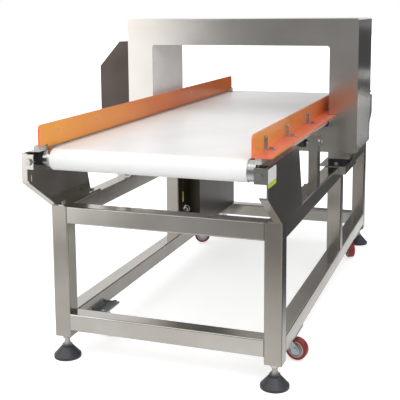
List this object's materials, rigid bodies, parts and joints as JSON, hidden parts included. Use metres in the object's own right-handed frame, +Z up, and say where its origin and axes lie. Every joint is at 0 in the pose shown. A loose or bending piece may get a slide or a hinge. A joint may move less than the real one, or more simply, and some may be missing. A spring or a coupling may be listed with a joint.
{
  "type": "conveyor metal detector",
  "caption": "Free-standing belt conveyor on a tube frame with feet and casters, passing through a rectangular metal detector head with a side console.",
  "frame": {"origin": "centre of the bounding box at floor level, under the feet", "axes": "+Z up, +Y along the belt from the infeed to the discharge end, +X to the right seen from the infeed end; the console is on -X"},
  "size_m": [0.965, 1.81, 0.98],
  "materials": {
    "stainless": "brushed",
    "head_steel": "brushed",
    "zinc": "zinc plated",
    "bolt_steel": "polished",
    "guide_orange": "powder coat, satin",
    "belt_white": "coated, satin",
    "bed_plastic": "matte",
    "liner_plastic": "matte",
    "roller_steel": "turned",
    "roller_lagging": "matte",
    "roller_black": "satin",
    "tyre_red": "satin",
    "foot_black": "satin",
    "rubber_black": "matte",
    "coil_copper": "wound wire",
    "gearbox_grey": "cast, painted",
    "motor_blue": "satin",
    "console_dark": "satin",
    "display_glass": "glossy",
    "keypad_grey": "satin",
    "button_green": "glossy",
    "button_red": "glossy",
    "collar_metal": "satin",
    "components_grey": "matte"
  },
  "bodies": {
    "frame": {"adjusting_screws": "bolt_steel", "aperture_liner": "liner_plastic", "bed_cross_bars": "bed_plastic", "bed_side_rails": "bed_plastic", "belt": "belt_white", "bolts": "bolt_steel", "cabinet_case": "stainless", "cabinet_components": "components_grey", "cable_gland": "bolt_steel", "caster_plates": "zinc", "console_case": "console_dark", "control_collars": "collar_metal", "corner_legs": "stainless", "cross_rails": "stainless", "display_window": "display_glass", "door_seal": "rubber_black", "drive_bearings": "roller_black", "drive_motor": "motor_blue", "foot_lock_nuts": "bolt_steel", "gearbox": "gearbox_grey", "guide_brackets": "zinc", "head_feet": "stainless", "head_shell": "head_steel", "hinge_case_leaves": "zinc", "isolators": "rubber_black", "left_guide": "guide_orange", "membrane_keypad": "keypad_grey", "mid_legs": "stainless", "return_roller_shafts": "stainless", "right_guide": "guide_orange", "saddle_plates": "stainless", "search_coils": "coil_copper", "side_plates": "stainless", "side_rails": "stainless", "slider_bed": "bed_plastic", "support_posts": "stainless"},
    "foot_near_left": {"levelling_foot_near_left": "foot_black"},
    "fork_near_left": {"caster_fork_near_left": "zinc"},
    "wheel_near_left": {"caster_wheel_near_left": "tyre_red"},
    "foot_far_left": {"levelling_foot_far_left": "foot_black"},
    "fork_far_left": {"caster_fork_far_left": "zinc"},
    "wheel_far_left": {"caster_wheel_far_left": "tyre_red"},
    "foot_near_right": {"levelling_foot_near_right": "foot_black"},
    "fork_near_right": {"caster_fork_near_right": "zinc"},
    "wheel_near_right": {"caster_wheel_near_right": "tyre_red"},
    "foot_far_right": {"levelling_foot_far_right": "foot_black"},
    "fork_far_right": {"caster_fork_far_right": "zinc"},
    "wheel_far_right": {"caster_wheel_far_right": "tyre_red"},
    "take_up": {"infeed_roller_shaft": "stainless", "take_up_blocks": "roller_black"},
    "infeed_roller": {"infeed_roller": "roller_steel"},
    "drive_roller": {"drive_roller": "roller_lagging"},
    "return_roller_near": {"return_roller_near": "roller_steel"},
    "return_roller_far": {"return_roller_far": "roller_steel"},
    "start_button": {"start_button": "button_green"},
    "stop_button": {"stop_button": "button_red"},
    "power_switch": {"power_switch": "button_red"},
    "cabinet_door": {"cabinet_door": "stainless", "hinge_door_leaves": "zinc"},
    "door_lock": {"door_lock": "bolt_steel"}
  },
  "joints": [
    {"name": "foot_height_near_left", "type": "slide", "parent": "frame", "child": "foot_near_left", "axis": [0, 0, 1], "range_m": [-0.015, 0.012]},
    {"name": "swivel_near_left", "type": "hinge", "parent": "frame", "child": "fork_near_left", "pos_m": [-0.233, -0.534, 0.08], "axis": [0, 0, 1], "continuous": true},
    {"name": "wheel_spin_near_left", "type": "hinge", "parent": "fork_near_left", "child": "wheel_near_left", "pos_m": [-0.19917, -0.54631, 0.0365], "axis": [0.342, 0.9397, 0], "continuous": true},
    {"name": "foot_height_far_left", "type": "slide", "parent": "frame", "child": "foot_far_left", "axis": [0, 0, 1], "range_m": [-0.015, 0.012]},
    {"name": "swivel_far_left", "type": "hinge", "parent": "frame", "child": "fork_far_left", "pos_m": [-0.233, 0.534, 0.08], "axis": [0, 0, 1], "continuous": true},
    {"name": "wheel_spin_far_left", "type": "hinge", "parent": "fork_far_left", "child": "wheel_far_left", "pos_m": [-0.26683, 0.52169, 0.0365], "axis": [0.342, -0.9397, 0], "continuous": true},
    {"name": "foot_height_near_right", "type": "slide", "parent": "frame", "child": "foot_near_right", "axis": [0, 0, 1], "range_m": [-0.015, 0.012]},
    {"name": "swivel_near_right", "type": "hinge", "parent": "frame", "child": "fork_near_right", "pos_m": [0.363, -0.534, 0.08], "axis": [0, 0, 1], "continuous": true},
    {"name": "wheel_spin_near_right", "type": "hinge", "parent": "fork_near_right", "child": "wheel_near_right", "pos_m": [0.39865, -0.53901, 0.0365], "axis": [0.1392, 0.9903, 0], "continuous": true},
    {"name": "foot_height_far_right", "type": "slide", "parent": "frame", "child": "foot_far_right", "axis": [0, 0, 1], "range_m": [-0.015, 0.012]},
    {"name": "swivel_far_right", "type": "hinge", "parent": "frame", "child": "fork_far_right", "pos_m": [0.363, 0.534, 0.08], "axis": [0, 0, 1], "continuous": true},
    {"name": "wheel_spin_far_right", "type": "hinge", "parent": "fork_far_right", "child": "wheel_far_right", "pos_m": [0.381, 0.50282, 0.0365], "axis": [0.866, 0.5, 0], "continuous": true},
    {"name": "belt_take_up", "type": "slide", "parent": "frame", "child": "take_up", "axis": [0, 1, 0], "range_m": [0, 0.012]},
    {"name": "infeed_roller_spin", "type": "hinge", "parent": "take_up", "child": "infeed_roller", "pos_m": [0.065, -0.834, 0.6135], "axis": [1, 0, 0], "continuous": true},
    {"name": "drive_roller_spin", "type": "hinge", "parent": "frame", "child": "drive_roller", "pos_m": [0.065, 0.834, 0.6135], "axis": [1, 0, 0], "continuous": true},
    {"name": "return_roller_near_spin", "type": "hinge", "parent": "frame", "child": "return_roller_near", "pos_m": [0.065, -0.275, 0.602], "axis": [1, 0, 0], "continuous": true},
    {"name": "return_roller_far_spin", "type": "hinge", "parent": "frame", "child": "return_roller_far", "pos_m": [0.065, 0.388, 0.602], "axis": [1, 0, 0], "continuous": true},
    {"name": "start_button_press", "type": "slide", "parent": "frame", "child": "start_button", "axis": [0.751, 0, -0.6603], "range_m": [0, 0.003], "stiffness_N_per_m": 400},
    {"name": "stop_button_press", "type": "slide", "parent": "frame", "child": "stop_button", "axis": [0.751, 0, -0.6603], "range_m": [0, 0.003], "stiffness_N_per_m": 400},
    {"name": "power_switch_turn", "type": "hinge", "parent": "frame", "child": "power_switch", "pos_m": [-0.4175, 0.24, 0.72], "axis": [0, 1, 0], "range_deg": [0, 90]},
    {"name": "cabinet_door_swing", "type": "hinge", "parent": "frame", "child": "cabinet_door", "pos_m": [-0.2797, 0.662, 0.275], "axis": [0, 0, 1], "range_deg": [-110, 0]},
    {"name": "door_lock_turn", "type": "hinge", "parent": "cabinet_door", "child": "door_lock", "pos_m": [-0.275, 0.254, 0.275], "axis": [1, 0, 0], "range_deg": [0, 90]}
  ],
  "couplings": [
    {"joint": "infeed_roller_spin", "follows": "drive_roller_spin", "ratio": 1},
    {"joint": "return_roller_near_spin", "follows": "drive_roller_spin", "ratio": -1.4474},
    {"joint": "return_roller_far_spin", "follows": "drive_roller_spin", "ratio": -1.4474}
  ]
}
